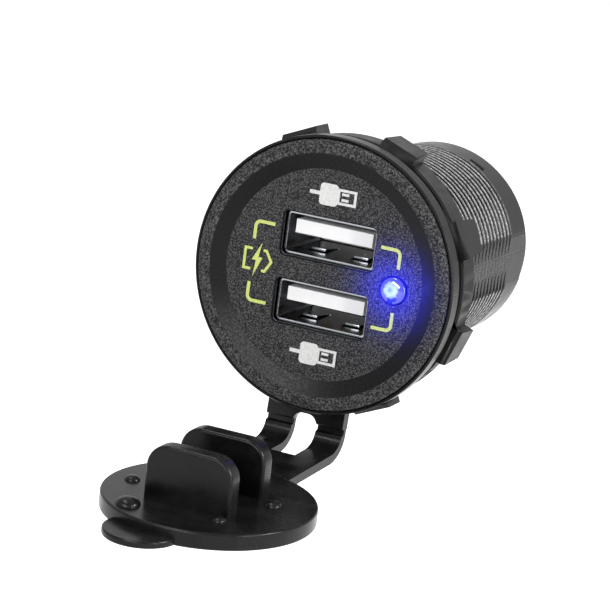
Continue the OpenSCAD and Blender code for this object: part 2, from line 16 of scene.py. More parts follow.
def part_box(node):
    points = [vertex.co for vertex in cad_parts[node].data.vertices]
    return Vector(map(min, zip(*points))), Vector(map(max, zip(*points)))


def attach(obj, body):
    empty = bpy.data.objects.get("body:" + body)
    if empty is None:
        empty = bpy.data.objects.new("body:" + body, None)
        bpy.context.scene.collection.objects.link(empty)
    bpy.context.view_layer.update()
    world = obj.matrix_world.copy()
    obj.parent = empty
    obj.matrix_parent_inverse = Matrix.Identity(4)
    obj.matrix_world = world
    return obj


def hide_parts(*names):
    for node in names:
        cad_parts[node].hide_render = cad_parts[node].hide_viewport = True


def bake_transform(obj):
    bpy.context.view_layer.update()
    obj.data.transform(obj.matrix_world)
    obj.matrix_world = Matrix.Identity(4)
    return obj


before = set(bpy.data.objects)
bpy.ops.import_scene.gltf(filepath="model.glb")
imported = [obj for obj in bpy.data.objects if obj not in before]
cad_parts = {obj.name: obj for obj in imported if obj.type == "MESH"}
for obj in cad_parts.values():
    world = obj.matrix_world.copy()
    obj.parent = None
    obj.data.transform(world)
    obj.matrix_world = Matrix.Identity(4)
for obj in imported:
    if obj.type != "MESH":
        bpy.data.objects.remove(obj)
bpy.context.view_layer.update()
MM = 0.001
bpy.ops.object.select_all(action="DESELECT")
print("pieces in the model:", len(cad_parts))

# %% [markdown]
# Reading sizes from the model
#
# The Blender pieces sit on the model's pieces, so their sizes are read from its boxes. A size that
# is only drawn here, such as the rounding of a rubber edge, gets its own name where it is used.

# %% Sizes read from the model
rim_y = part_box("face_plate")[0].y
recess_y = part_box("bracket_marks")[1].y
lamp_low, lamp_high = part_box("indicator_led")
lamp_r = (lamp_high.z - lamp_low.z) / 2
lamp_x = (lamp_high.x + lamp_low.x) / 2
ring_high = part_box("cap_ring")[1]
ring_r = ring_high.x
lid_low, lid_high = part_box("cap_lid")
disc_r = lid_high.x
print("ring and disc radius, mm:", round(ring_r / MM, 2), round(disc_r / MM, 2))

# %% [markdown]
# Small tools for modelling
#
# An operator works on everything that is selected, so each tool first selects one object alone.
# The finished pieces all keep their object at the origin, with their place in the mesh.

# %% Modelling helpers


def only(piece):
    """Selects one object and makes it the active one."""
    bpy.ops.object.select_all(action="DESELECT")
    piece.select_set(True)
    bpy.context.view_layer.objects.active = piece


def place_in_mesh(piece):
    """Moves the object's place, turn and scale into its mesh."""
    only(piece)
    bpy.ops.object.transform_apply(location=True, rotation=True, scale=True)


def edit_all(piece):
    """Opens edit mode with the whole mesh selected."""
    only(piece)
    bpy.ops.object.mode_set(mode="EDIT")
    bpy.ops.mesh.select_all(action="SELECT")


def leave_edit():
    bpy.ops.object.mode_set(mode="OBJECT")


def edit_unselected(piece):
    """Opens edit mode with nothing selected, and returns the mesh to pick from."""
    edit_all(piece)
    bpy.ops.mesh.select_all(action="DESELECT")
    return bmesh.from_edit_mesh(piece.data)


def edit_empty(name):
    """Adds an object with an empty mesh, and opens it in edit mode."""
    bpy.ops.mesh.primitive_plane_add(size=1)
    piece = bpy.context.active_object
    piece.name = name
    edit_all(piece)
    bpy.ops.mesh.delete(type="VERT")
    return piece, bmesh.from_edit_mesh(piece.data)


def bevel_where(piece, wanted, width, segments):
    """Rounds the edges that a test picks by the places of their two ends."""
    mesh = edit_unselected(piece)
    for edge in mesh.edges:
        edge.select = wanted(*(v.co for v in edge.verts))
    bmesh.update_edit_mesh(piece.data)
    bpy.ops.mesh.bevel(offset=width, segments=segments, affect="EDGES")
    leave_edit()


def ease_edges(piece, width, segments, sharper_than):
    """Rounds every edge that is sharper than an angle, and applies the rounding."""
    bevel = piece.modifiers.new("ease", "BEVEL")
    bevel.width = width
    bevel.segments = segments
    bevel.limit_method = "ANGLE"
    bevel.angle_limit = math.radians(sharper_than)
    bevel.use_clamp_overlap = True
    only(piece)
    bpy.ops.object.modifier_apply(modifier=bevel.name)


def smooth_by_angle(piece, degrees=35):
    only(piece)
    bpy.ops.object.shade_smooth_by_angle(angle=math.radians(degrees))


def combine(piece, other, operation="UNION"):
    """Joins another solid to a piece, or cuts it away, and drops the other solid."""
    boolean = piece.modifiers.new("combine", "BOOLEAN")
    boolean.operation = operation
    boolean.solver = "EXACT"
    boolean.object = other
    only(piece)
    bpy.ops.object.modifier_apply(modifier=boolean.name)
    bpy.data.objects.remove(other)


def even_shading(piece):
    """Weighs the normals by face size, so that a flat face looks flat up to its rounded edge."""
    weigh = piece.modifiers.new("weigh", "WEIGHTED_NORMAL")
    weigh.keep_sharp = True
    weigh.weight = 50
    only(piece)
    bpy.ops.object.modifier_apply(modifier=weigh.name)


def merged_copy(node, name):
    """A copy of a model piece with its triangles merged into the faces they belong to.

    Two cuts through the middle stay as seams, so that a ring-shaped face comes out in quarters."""
    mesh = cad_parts[node].data.copy()
    mesh.materials.clear()
    piece = bpy.data.objects.new(name, mesh)
    bpy.context.scene.collection.objects.link(piece)
    edit_all(piece)
    bpy.ops.mesh.remove_doubles(threshold=0.0005 * MM)
    for across in ((1, 0, 0), (0, 0, 1)):
        bpy.ops.mesh.select_all(action="SELECT")
        bpy.ops.mesh.bisect(plane_co=(0, 0, 0), plane_no=across)
        bpy.ops.mesh.mark_seam()
    bpy.ops.mesh.select_all(action="SELECT")
    bpy.ops.mesh.dissolve_limited(angle_limit=math.radians(0.4), delimit={"SEAM"})
    leave_edit()
    return piece


def round_off(piece, width, sharper_than=30):
    """Rounds the sharp edges of a copied piece, and shades it smooth up to them."""
    ease_edges(piece, width, 2, sharper_than)
    smooth_by_angle(piece)
    even_shading(piece)
    print(piece.name, "faces:", len(piece.data.polygons))


def eased_copy(node, name, width, sharper_than=30):
    """A merged copy of a model piece with its sharp edges rounded."""
    piece = merged_copy(node, name)
    round_off(piece, width, sharper_than)
    return piece


def stands_for(piece, body, slot, *nodes):
    """Ties a piece to its body and hides the model pieces it stands for. Its slot is not used."""
    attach(piece, body)
    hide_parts(*nodes)


# %% [markdown]
# Small tools for materials
#
# Every finish is a short chain of nodes on Object coordinates, which here are metres in the model's
# own frame. A grain of 0.3 mm is then simply a texture of scale 1 / 0.0003.

# %% Material helpers


class Finish:
    """A material with its shader at hand, and short calls that add and link nodes."""

    def __init__(self, name, colour, roughness, **sockets):
        self.material = bpy.data.materials.new(name)
        self.material.use_nodes = True
        self.tree = self.material.node_tree
        self.shader = self.tree.nodes["Principled BSDF"]
        self.set(self.shader, {"Base Color": (*colour, 1), "Roughness": roughness, **sockets})
        self.place = self.tree.nodes.new("ShaderNodeTexCoord").outputs["Object"]

    def feed(self, socket, value):
        """Links a socket to another node, or sets it to a plain value."""
        if isinstance(value, bpy.types.NodeSocket):
            self.tree.links.new(value, socket)
        else:
            socket.default_value = value

    def set(self, node, values):
        for key, value in values.items():
            self.feed(node.inputs[key], value)

    def add(self, kind, options=None, **values):
        """Adds a node. Its first output is what most nodes are added for."""
        node = self.tree.nodes.new(kind)
        for key, value in (options or {}).items():
            setattr(node, key, value)
        self.set(node, {key.replace("_", " "): value for key, value in values.items()})
        return node

    def math(self, operation, first, second=0.0, clamp=False):
        node = self.add("ShaderNodeMath", {"operation": operation, "use_clamp": clamp})
        for socket, value in zip(node.inputs, (first, second)):
            self.feed(socket, value)
        return node.outputs[0]

    def product(self, first, *others):
        for other in others:
            first = self.math("MULTIPLY", first, other)
        return first

    def length(self, across, along):
        """The distance from an axis, from the two coordinates square to it."""
        return self.math("SQRT", self.math("ADD", self.product(across, across), self.product(along, along)))

    def noise(self, size, detail=2.0, rough=0.5):
        """Soft noise whose features are about so many metres wide."""
        node = self.add("ShaderNodeTexNoise", Vector=self.place, Scale=1 / size, Detail=detail,
                        Roughness=rough)
        return node.outputs[0]

    def cells(self, size):
        """Pebbles about so many metres across."""
        node = self.add("ShaderNodeTexVoronoi", {"feature": "SMOOTH_F1"}, Vector=self.place, Scale=1 / size)
        return node.outputs["Distance"]

    def ramp(self, value, stops):
        """A colour ramp through (position, colour) stops."""
        node = self.add("ShaderNodeValToRGB", Fac=value)
        ramp = node.color_ramp
        while len(ramp.elements) < len(stops):
            ramp.elements.new(0.5)
        for element, (position, shade) in zip(ramp.elements, stops):
            element.position = position
            element.color = (*shade, 1)
        return node.outputs[0]

    def span(self, value, low, high, to_low=0.0, to_high=1.0):
        """Maps a range of one value to another range, and stops at its ends."""
        node = self.add("ShaderNodeMapRange", {"clamp": True}, Value=value)
        self.set(node, {"From Min": low, "From Max": high, "To Min": to_low, "To Max": to_high})
        return node.outputs[0]

    def mix(self, share, first, second):
        node = self.add("ShaderNodeMix", {"data_type": "RGBA"}, Factor=share)
        for socket, value in ((node.inputs[6], first), (node.inputs[7], second)):
            self.feed(socket, (*value, 1) if isinstance(value, tuple) else value)
        return node.outputs[2]

    def axes(self):
        return self.add("ShaderNodeSeparateXYZ", Vector=self.place).outputs

    def bump(self, height, depth, strength=1.0, under=None):
        """Raises the surface by a height pattern, and returns the normal."""
        node = self.add("ShaderNodeBump", Height=height, Distance=depth, Strength=strength)
        if under is not None:
            self.tree.links.new(under, node.inputs["Normal"])
        self.tree.links.new(node.outputs[0], self.shader.inputs["Normal"])
        return node.outputs[0]

    def use(self, socket, value):
        self.set(self.shader, {socket: value})

    def on(self, *pieces):
        for piece in pieces:
            piece.data.materials.clear()
            piece.data.materials.append(self.material)


def node_of(name):
    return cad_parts[name]


# %% [markdown]
# The glow of the lamp
#
# The blue lamp lights the face round it, strongly at its edge and faintly out to the ports. The
# glow falls with the distance from the lamp, so it is worked out from Object coordinates and added
# to each finish that lies near the lamp. It stays in place from every view.

# %% Lamp glow
GLOW_BLUE = (0.02, 0.022, 1.0)
GLOW_WIDTH = 4.0 * MM


def add_lamp_glow(finish, peak, grain=None):
    """Adds blue light that falls off like a bell curve round the lamp, and follows the grain."""
    middle = finish.add("ShaderNodeVectorMath", {"operation": "DISTANCE"})
    finish.tree.links.new(finish.place, middle.inputs[0])
    middle.inputs[1].default_value = (lamp_x, recess_y, 0)
    share = finish.math("DIVIDE", middle.outputs["Value"], GLOW_WIDTH)
    bell = finish.math("EXPONENT", finish.product(share, share, -1.0))
    glow = finish.product(bell, peak)
    if grain is not None:
        glow = finish.product(glow, finish.span(grain, 0.0, 1.0, 0.62, 1.25))
    finish.use("Emission Color", finish.mix(glow, (0, 0, 0), GLOW_BLUE))
    finish.shader.inputs["Emission Strength"].default_value = 1.0


# %% [markdown]
# The face plate
#
# The plate is moulded in black plastic with a fine leather grain on its recessed floor and on its
# rim. The sloping band between them is smooth, and so are the walls of the port slots. The plate is
# a copy of the model's piece with every edge eased a little, because a moulded edge always catches
# a thin line of light. The rim is a little crowned, so its flat front is inset and the outer loop of
# the inset is pushed back. The slope's own edges turn by little more than 20 degrees, so they need a
# lower limit than the other pieces to be eased too.

# %% Face plate: shape
FACE_EASE = 0.13 * MM
FACE_TURN = 20
CROWN_W = 0.55 * MM
CROWN_DROP = 0.18 * MM
HAIR = 0.02 * MM
RIM_MARGIN = 0.1 * MM
slope_in = 14.05 * MM
slope_out = 16.15 * MM


def from_axis(place):
    """How far a place is from the axis of the barrel."""
    return Vector((place.x, place.z)).length


def crown_rim(piece):
    """Insets the flat front of the rim, and pushes its outer loop back."""
    mesh = edit_unselected(piece)
    for flat in mesh.faces:
        flat.select = all(v.co.y < rim_y + HAIR and from_axis(v.co) > slope_out - RIM_MARGIN
                          for v in flat.verts)
    print("flat faces on the rim:", sum(flat.select for flat in mesh.faces))
    bmesh.update_edit_mesh(piece.data)
    bpy.ops.mesh.inset(thickness=CROWN_W, depth=0)
    mesh = bmesh.from_edit_mesh(piece.data)
    front = [v for v in mesh.verts if v.co.y < rim_y + HAIR]
    outer_r = max(from_axis(v.co) for v in front)
    for vertex in front:
        if from_axis(vertex.co) > outer_r - HAIR:
            vertex.co.y += CROWN_DROP
    bmesh.update_edit_mesh(piece.data)
    leave_edit()


face = merged_copy("face_plate", "face_moulding")
crown_rim(face)
round_off(face, FACE_EASE, sharper_than=FACE_TURN)

# %% [markdown]
# The face plate's grain
#
# The grain is a bump of small pebbles under a fine ripple. Its colour follows the grain's height as painted
# light: painted shade in the pits and painted highlights on the pebbles. The grain and this painted light
# are switched off by place: the slope is where the radius lies between the floor and the rim, and the port
# slots are what lies behind the floor.

# %% Face plate: finish
PEBBLE = 0.3 * MM
RIPPLE = 0.2 * MM
GRAIN_DEPTH = 0.075 * MM
SLOPE_BLUR = 0.06 * MM


def leather_grain(finish):
    """The height of the moulded grain, from 0 in a pit to 1 on a pebble."""
    ripple = finish.product(finish.noise(RIPPLE, 1.0, 0.5), 1.4)
    pebbles = finish.product(finish.cells(PEBBLE), 0.5)
    return finish.span(finish.math("SUBTRACT", ripple, pebbles), 0.24, 0.7)


grained = Finish("grained_black_plastic", (0.03, 0.03, 0.031), 0.5)
grained.shader.inputs["Specular IOR Level"].default_value = 0.1
x, y, z = grained.axes()
radius = grained.length(x, z)
past_floor = grained.span(radius, slope_in - SLOPE_BLUR, slope_in + SLOPE_BLUR)
before_rim = grained.span(radius, slope_out - SLOPE_BLUR, slope_out + SLOPE_BLUR, 1.0, 0.0)
on_slope = grained.product(past_floor, before_rim)
in_slot = grained.span(y, recess_y + 0.05 * MM, recess_y + 0.15 * MM)
smooth_part = grained.math("MAXIMUM", on_slope, in_slot)
grain_share = grained.math("SUBTRACT", 1.0, smooth_part, clamp=True)
grain = leather_grain(grained)
grained.bump(grained.product(grain, grained.math("MAXIMUM", grain_share, 0.06)), GRAIN_DEPTH, 1.0)
# Painted shade in the grain's pits and painted highlights on its pebbles, taken from the grain's height.
grain_shade_and_highlights = grained.ramp(grain, ((0.0, (0.005, 0.005, 0.0055)), (0.5, (0.022, 0.022, 0.023)),
                            (1.0, (0.07, 0.07, 0.072))))
plain = grained.mix(on_slope, (0.004, 0.004, 0.0045), (0.005, 0.005, 0.0055))
grained.use("Base Color", grained.mix(smooth_part, grain_shade_and_highlights, plain))
dull = grained.span(grain, 0.0, 1.0, 0.55, 0.36)
dull = grained.math("SUBTRACT", dull, grained.product(in_slot, 0.28))
grained.use("Roughness", grained.math("SUBTRACT", dull, grained.product(on_slope, 0.15)))
add_lamp_glow(grained, 0.85, grain)
grained.on(face)
stands_for(face, "socket", "grained_black", "face_plate")

# %% [markdown]
# The housing, the ring nut and the rear cover
#
# Housing and nut are glass-filled nylon, with a satin skin that is a little cloudy. Blender eases
# copies of the model's pieces, so the thread stays real geometry. In the picture its crests catch a
# row of bright lines. The lights here leave them too dark, so the crests get a paler shade as well. A
# faint parting line runs down the flats, where the two mould halves met. The sizes of thread, flats
# and crests repeat the model's, because a finish finds its place by numbers alone.

# %% Housing, nut and cover: nylon
PITCH = 1.25 * MM
THREAD_START = 0.5 * MM
THREAD_END = 31.3 * MM
FLAT_X = 13.35 * MM
CREST_R = 13.9 * MM
PARTING_Z = 1.0 * MM
CREST_PAINTED_HIGHLIGHT = (0.3, 0.3, 0.303)


def nylon(name, shade, roughness):
    finish = Finish(name, (shade, shade, shade * 1.03), roughness)
    finish.shader.inputs["Specular IOR Level"].default_value = 0.1
    cloud = finish.noise(2.5 * MM, 3.0)
    finish.tone = finish.mix(finish.span(cloud, 0.3, 0.75), (shade * 0.75,) * 3, (shade * 1.35,) * 3)
    finish.use("Base Color", finish.tone)
    finish.use("Roughness", finish.span(cloud, 0.3, 0.75, roughness - 0.06, roughness + 0.08))
    return finish


moulded = nylon("moulded_black_nylon", 0.007, 0.24)
x, y, z = moulded.axes()
on_flat = moulded.span(moulded.math("ABSOLUTE", x), FLAT_X - 0.05 * MM, FLAT_X - 0.02 * MM)
before_end = moulded.span(y, THREAD_END - 0.3 * MM, THREAD_END, 1.0, 0.0)
on_thread = moulded.product(before_end, moulded.span(y, THREAD_START, THREAD_START + 0.2 * MM))
glitter = moulded.span(moulded.noise(0.3 * MM, 2.0), 0.4, 0.62)
fine = moulded.product(moulded.noise(0.14 * MM, 2.0), 0.35)
skin = moulded.bump(moulded.math("ADD", fine, moulded.product(glitter, on_thread, 0.9)), 0.03 * MM, 0.8)

# %% Housing, nut and cover: painted highlights on the crests and parting line
radius = moulded.length(x, z)
crest_highlight_share = moulded.product(
    moulded.span(radius, CREST_R - 0.14 * MM, CREST_R - 0.03 * MM),
    moulded.span(radius, CREST_R + 0.1 * MM, CREST_R + 0.2 * MM, 1.0, 0.0),
    on_thread, moulded.math("SUBTRACT", 1.0, on_flat), moulded.span(glitter, 0.0, 1.0, 0.35, 1.0))
# The crests get a paler colour, which is a painted highlight for the bright lines on them.
moulded.use("Base Color", moulded.mix(crest_highlight_share, moulded.tone, CREST_PAINTED_HIGHLIGHT))
parting = moulded.span(moulded.math("ABSOLUTE", moulded.math("SUBTRACT", z, PARTING_Z)), 0.0, 0.09 * MM)
thread_wave = moulded.math("SINE", moulded.product(y, 2 * math.pi / PITCH))
faint = moulded.product(thread_wave, on_thread, 0.25)
moulded.bump(moulded.product(moulded.math("ADD", parting, faint), on_flat), 0.05 * MM, 0.6, under=skin)

# %% Housing, nut and cover: pieces
nut_finish = nylon("ring_nut_nylon", 0.01, 0.36)
nut_finish.bump(nut_finish.noise(0.18 * MM, 2.0), 0.02 * MM, 0.6)

nut = eased_copy("ring_nut", "lugged_nut", 0.16 * MM)
nut_finish.on(nut)
stands_for(nut, "ring_nut", "moulded_black", "ring_nut")
barrel = eased_copy("barrel", "threaded_barrel", 0.07 * MM, sharper_than=25)
cover = eased_copy("rear_cover", "rear_plug", 0.12 * MM)
moulded.on(barrel, cover)
stands_for(barrel, "socket", "moulded_black", "barrel")
stands_for(cover, "socket", "moulded_black", "rear_cover")

# %% [markdown]
# The rubber cap
#
# Ring, strap, disc, prongs and finger tab are one rubber moulding, so Blender shows one piece, even though
# the model needs two bodies for the swing. It is built as the mould maker would draw it: a spun ring, a
# strap whose side view is drawn once and pushed across, and a lid of a disc with two prongs, four bumps and
# a tab. Everything is then joined into one skin. The strap gets a row of crosswise edges at its bend. Each
# of the lid's small bumps is given in millimetres by its place across, its place forward and its radius.

# %% Cap: sizes
ring_in = 14.05 * MM
ring_front = 0.02 * MM
ring_ease = 0.3 * MM
strap_half = 5.6 * MM
strap_half_t = 0.65 * MM
strap_slot_half = 1.75 * MM
slot_top = -19.3 * MM
slot_corner = 1.4 * MM
bend_r = 3.5 * MM
bend_y = 0.9 * MM - bend_r
bend_z = -21.4 * MM
bend_lift = 0.8 * MM
slot_front = bend_y - 2.4 * MM
pole = Vector((0, bend_y - 1.0 * MM, bend_z - bend_r))
lid_tilt = math.radians(3.3)
lid_reach = -pole.z
disc_top = 1.74 * MM
disc_t = 2.2 * MM
prong_t = 2.5 * MM
prong_w = 12 * MM
prong_h = 7.2 * MM
prong_corner = 3 * MM
prong_offset = 4.55 * MM
prong_x = -0.4 * MM
tab_r = 4.9 * MM
tab_t = 0.95 * MM
tab_x = -2.6 * MM
tab_reach = 12.9 * MM
disc_ease = 0.3 * MM
tab_ease = 0.25 * MM
prong_ease = 0.45 * MM
prong_root = 1 * MM
bump_rise = 0.6
lid_bumps = ((-10.4, 1, 1.0), (-6.5, 9.4, 1.6), (5, 7.3, 0.9), (7.8, -2.2, 1.1))
leg_turn = math.radians(-2.2)
strap_drift = -0.06
lid_turn = Matrix.Translation(pole) @ Matrix.Rotation(lid_tilt, 4, "X")

# %% Cap: ring


def spun(name, profile, steps=128):
    """Spins a closed outline of (radius, y) points once round the Y axis."""
    piece, mesh = edit_empty(name)
    corners = [mesh.verts.new((r, at, 0)) for r, at in profile]
    for k, corner in enumerate(corners):
        mesh.edges.new((corner, corners[(k + 1) % len(corners)]))
    bmesh.update_edit_mesh(piece.data)
    bpy.ops.mesh.select_all(action="SELECT")
    bpy.ops.mesh.spin(steps=steps, angle=2 * math.pi, center=(0, 0, 0), axis=(0, 1, 0))
    bpy.ops.mesh.select_all(action="SELECT")
    bpy.ops.mesh.remove_doubles(threshold=0.001 * MM)
    bpy.ops.mesh.normals_make_consistent(inside=False)
    leave_edit()
    return piece


cap = spun("dust_cap", [
    (ring_in, ring_front), (ring_r - ring_ease, ring_front), (ring_r, ring_front + ring_ease),
    (ring_r, ring_high.y - ring_ease), (ring_r - ring_ease, ring_high.y), (ring_in, ring_high.y)])
print("ring faces:", len(cap.data.polygons))

# %% Cap: strap


def strap_outline():
    """The strap seen from the side, as (y, z) points: down one face and back up the other.

    The legs come down from the ring, step in to the thinner web at the groove, run round the bend in
    a quarter turn and go straight on under the disc."""
    leg_front, leg_back, leg_top = 0.12 * MM, 1.68 * MM, -15.5 * MM
    web_front, groove_top, groove_end = 0.8 * MM, -20.45 * MM, -21.2 * MM
    front = [(leg_front, leg_top), (leg_front, groove_top + 0.25 * MM), (leg_front + 0.2 * MM, groove_top),
             (web_front, groove_top - 0.05 * MM), (web_front, groove_end)]
    back = [(leg_back, leg_top), (leg_back, groove_top),
            (bend_y + bend_r + strap_half_t, groove_top - 0.2 * MM)]
    turns = 16
    sag = pole.z - bend_z + bend_lift
    for k in range(turns + 1):
        a = k / turns * math.pi / 2
        for row, side in ((front, -strap_half_t), (back, strap_half_t)):
            row.append((bend_y + (bend_r + side) * math.cos(a), bend_z + (sag - side) * math.sin(a)))
    steps = 14
    straight = lid_reach - disc_r + 1.5 * MM
    start = Vector((0, bend_y, bend_z + sag))
    end = lid_turn @ Vector((0, -straight, 0))
    for k in range(1, steps + 1):
        spot = start.lerp(end, k / steps)
        for row, side in ((front, 1), (back, -1)):
            row.append((spot.y, spot.z + side * strap_half_t))
    return front + back[::-1]


def pushed_across(name, outline, half):
    """Turns a (y, z) outline into a solid between -half and half across X."""
    piece, mesh = edit_empty(name)
    mesh.faces.new([mesh.verts.new((-half, y, z)) for y, z in outline])
    bmesh.update_edit_mesh(piece.data)
    bpy.ops.mesh.select_all(action="SELECT")
    bpy.ops.mesh.extrude_region_move(TRANSFORM_OT_translate={"value": (2 * half, 0, 0)})
    bpy.ops.mesh.select_all(action="SELECT")
    bpy.ops.mesh.normals_make_consistent(inside=False)
    leave_edit()
    return piece


def slot_cutter():
    """A long block with a rounded top end, which opens the slot in the legs and the bend."""
    depth, height = 14 * MM, 8 * MM
    bpy.ops.mesh.primitive_cube_add(size=1, location=(0, bend_y, slot_top - height / 2))
    block = bpy.context.active_object
    block.scale = (2 * strap_slot_half, depth, height)
    place_in_mesh(block)
    bevel_where(block, lambda one, two: abs((one - two).y) > 1 * MM and one.z > slot_top - 1 * MM,
                slot_corner, 8)
    for vertex in block.data.vertices:
        if vertex.co.y < bend_y:
            vertex.co.y = slot_front
    return block


strap = pushed_across("strap", strap_outline(), strap_half)
combine(strap, slot_cutter(), "DIFFERENCE")
ease_edges(strap, 0.12 * MM, 2, 50)
for vertex in strap.data.vertices:
    ahead = max(0.0, bend_y - vertex.co.y)
    vertex.co.x += -math.tan(leg_turn) * vertex.co.z + strap_drift * ahead
combine(cap, strap)
print("ring and strap faces:", len(cap.data.polygons))

# %% Cap: lid


def lid_block(name, size, middle, corner, ease):
    """A block on the lid, with its two upper corners rounded in the front view."""
    bpy.ops.mesh.primitive_cube_add(size=1)
    piece = bpy.context.active_object
    piece.name = name
    piece.scale = size
    piece.location = middle
    place_in_mesh(piece)
    bevel_where(piece, lambda one, two: abs((one - two).y) > size[1] / 2 and one.z > middle[2], corner, 12)
    ease_edges(piece, ease, 3, 50)
    return piece


def lid_round(name, radius, low, high, ease, middle=(0, 0), sides=128):
    """A disc between two heights on the lid."""
    bpy.ops.mesh.primitive_cylinder_add(vertices=sides, radius=radius, depth=high - low,
                                        location=(*middle, (low + high) / 2))
    piece = bpy.context.active_object
    piece.name = name
    place_in_mesh(piece)
    ease_edges(piece, ease, 3, 50)
    return piece


lid = lid_round("lid", disc_r, disc_top - disc_t, disc_top, disc_ease)
tab_bottom = disc_top - disc_t + 0.02 * MM
tab = lid_round("tab", tab_r, tab_bottom, tab_bottom + tab_t, tab_ease, (tab_x, -tab_reach), 96)
combine(lid, tab)
for side in (-1, 1):
    middle = (prong_x, side * prong_offset, disc_top + (prong_h - prong_root) / 2)
    prong = lid_block("prong", (prong_w, prong_t, prong_h + prong_root), middle, prong_corner, prong_ease)
    combine(lid, prong)
for across, forward, size in lid_bumps:
    bpy.ops.mesh.primitive_uv_sphere_add(segments=24, ring_count=12, radius=size * MM,
                                         location=(across * MM, -forward * MM, disc_top))
    bump = bpy.context.active_object
    bump.scale = (1, 1, bump_rise)
    place_in_mesh(bump)
    combine(lid, bump)
lid.data.transform(lid_turn @ Matrix.Translation((0, -lid_reach, 0)))
combine(cap, lid)
smooth_by_angle(cap, 38)
even_shading(cap)
print("cap faces:", len(cap.data.polygons))

# %% [markdown]
# The cap's finish
#
# Moulded rubber is deep black with a satin skin. Its shine varies a little from place to place, and
# a very fine bump keeps the highlights from looking like glass.

# %% Cap: finish and ties
rubber = Finish("black_moulded_rubber", (0.006, 0.006, 0.0065), 0.34)
rubber.shader.inputs["Specular IOR Level"].default_value = 0.14
bloom = rubber.noise(3.5 * MM, 3.0, 0.6)
rubber.use("Roughness", rubber.span(bloom, 0.3, 0.75, 0.18, 0.32))
rubber.use("Base Color", rubber.mix(rubber.span(bloom, 0.35, 0.8), (0.003, 0.003, 0.0032),
                                    (0.007, 0.007, 0.0073)))
rubber.bump(rubber.noise(0.25 * MM, 2.0), 0.012 * MM, 0.5)
rubber.on(cap)
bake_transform(cap)
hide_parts("cap_ring", "cap_lid")

# %% [markdown]
# The ports
#
# Each port is a folded shell of bright nickel-plated sheet round a white plastic tongue. Chrome
# shows what is round it, so its look comes from a low roughness, faint drawing lines along the
# sheet and a slight change of shine.

# %% Ports
chrome = Finish("plated_sheet", (0.27, 0.28, 0.3), 0.16, Metallic=1.0)
streak = chrome.add("ShaderNodeMapping", Vector=chrome.place, Scale=(1, 0.08, 1)).outputs[0]
lines = chrome.add("ShaderNodeTexNoise", Vector=streak, Scale=9000, Detail=2.0).outputs[0]
chrome.use("Roughness", chrome.span(lines, 0.3, 0.7, 0.12, 0.24))
chrome.bump(lines, 0.004 * MM, 0.4)
tongue_white = Finish("white_insulator", (0.6, 0.6, 0.6), 0.35)
tongue_white.bump(tongue_white.noise(0.3 * MM), 0.006 * MM, 0.4)
tongue_white.use("Base Color", tongue_white.mix(tongue_white.noise(1.5 * MM), (0.6, 0.6, 0.595),
                                                (0.68, 0.68, 0.68)))
gold = Finish("contact_plating", (0.72, 0.5, 0.2), 0.22, Metallic=1.0)
gold.use("Roughness", gold.span(gold.noise(0.5 * MM), 0.3, 0.7, 0.16, 0.3))
for level in ("upper", "lower"):
    shell = eased_copy("usb_shell_" + level, "port_shell_" + level, 0.06 * MM)
    chrome.on(shell)
    stands_for(shell, "socket", "shell_steel", "usb_shell_" + level)
    tongue = eased_copy("usb_tongue_" + level, "port_tongue_" + level, 0.1 * MM)
    tongue_white.on(tongue)
    stands_for(tongue, "socket", "tongue_white", "usb_tongue_" + level)
    gold.on(node_of("usb_contacts_" + level))
gold.on(node_of("board_pins"))

# %% [markdown]
# The lamp
#
# The lamp is a clear blue dome with a bright chip behind it. The chip shows as a pale spot that
# fades to deep blue at the dome's edge. The colour is a ramp over the distance from the chip, which
# sits a little up and left of the lamp's axis. The dome itself is spun from an arc, with a clear coat
# on top for its own highlight.

# %% Lamp
dome_out = 0.75 * MM
dome_steps = 10
chip_shift = 0.12 * MM
dome_outline = [(0.0, recess_y - dome_out)]
for k in range(1, dome_steps + 1):
    a = k / dome_steps * math.pi / 2
    dome_outline.append((lamp_r * math.sin(a), recess_y - dome_out * math.cos(a)))
dome_outline += [(lamp_r, lamp_high.y), (0.0, lamp_high.y)]
lamp = spun("lamp_dome", dome_outline, 48)
lamp.data.transform(Matrix.Translation((lamp_x, 0, 0)))
smooth_by_angle(lamp, 50)

lit = Finish("lit_blue_lens", (0.01, 0.015, 0.3), 0.08)
lit.shader.inputs["Coat Weight"].default_value = 1.0
x, y, z = lit.axes()
off = lit.length(lit.math("SUBTRACT", x, lamp_x - chip_shift), lit.math("SUBTRACT", z, chip_shift))
wobble = lit.product(lit.math("SUBTRACT", lit.noise(0.45 * MM), 0.5), 0.6 * MM)
share = lit.math("DIVIDE", lit.math("ADD", off, wobble), lamp_r)
lit.use("Emission Color", lit.ramp(share, (
    (0.0, (0.1, 0.14, 0.7)), (0.14, (0.35, 0.6, 0.95)), (0.3, (0.6, 0.85, 1.0)), (0.5, (0.42, 0.62, 1.0)),
    (0.6, (0.06, 0.07, 0.95)), (0.84, (0.03, 0.035, 0.9)), (0.97, (0.0, 0.0, 0.3)))))
lit.shader.inputs["Emission Strength"].default_value = 1.0
lit.on(lamp)
stands_for(lamp, "socket", "lamp_blue", "indicator_led")

# %% [markdown]
# Print and the sealed parts
#
# The yellow-green frame and battery mark and the two white plug marks are screen printed, so the grain of
# the plate shows through the ink as a bump. The ink is also painted darker in the grain's pits, which is
# painted shade. The boards and parts inside the barrel are never seen in a normal view, but each gets a
# true finish for whoever opens it.

# %% Print and inner parts


def ink(name, colour):
    finish = Finish(name, colour, 0.5)
    grain = leather_grain(finish)
    finish.bump(grain, 0.03 * MM, 0.5)
    # Painted shade: the ink is darker in the pits of the grain.
    finish.use("Base Color", finish.mix(grain, tuple(0.82 * c for c in colour), colour))
    add_lamp_glow(finish, 0.5)
    return finish


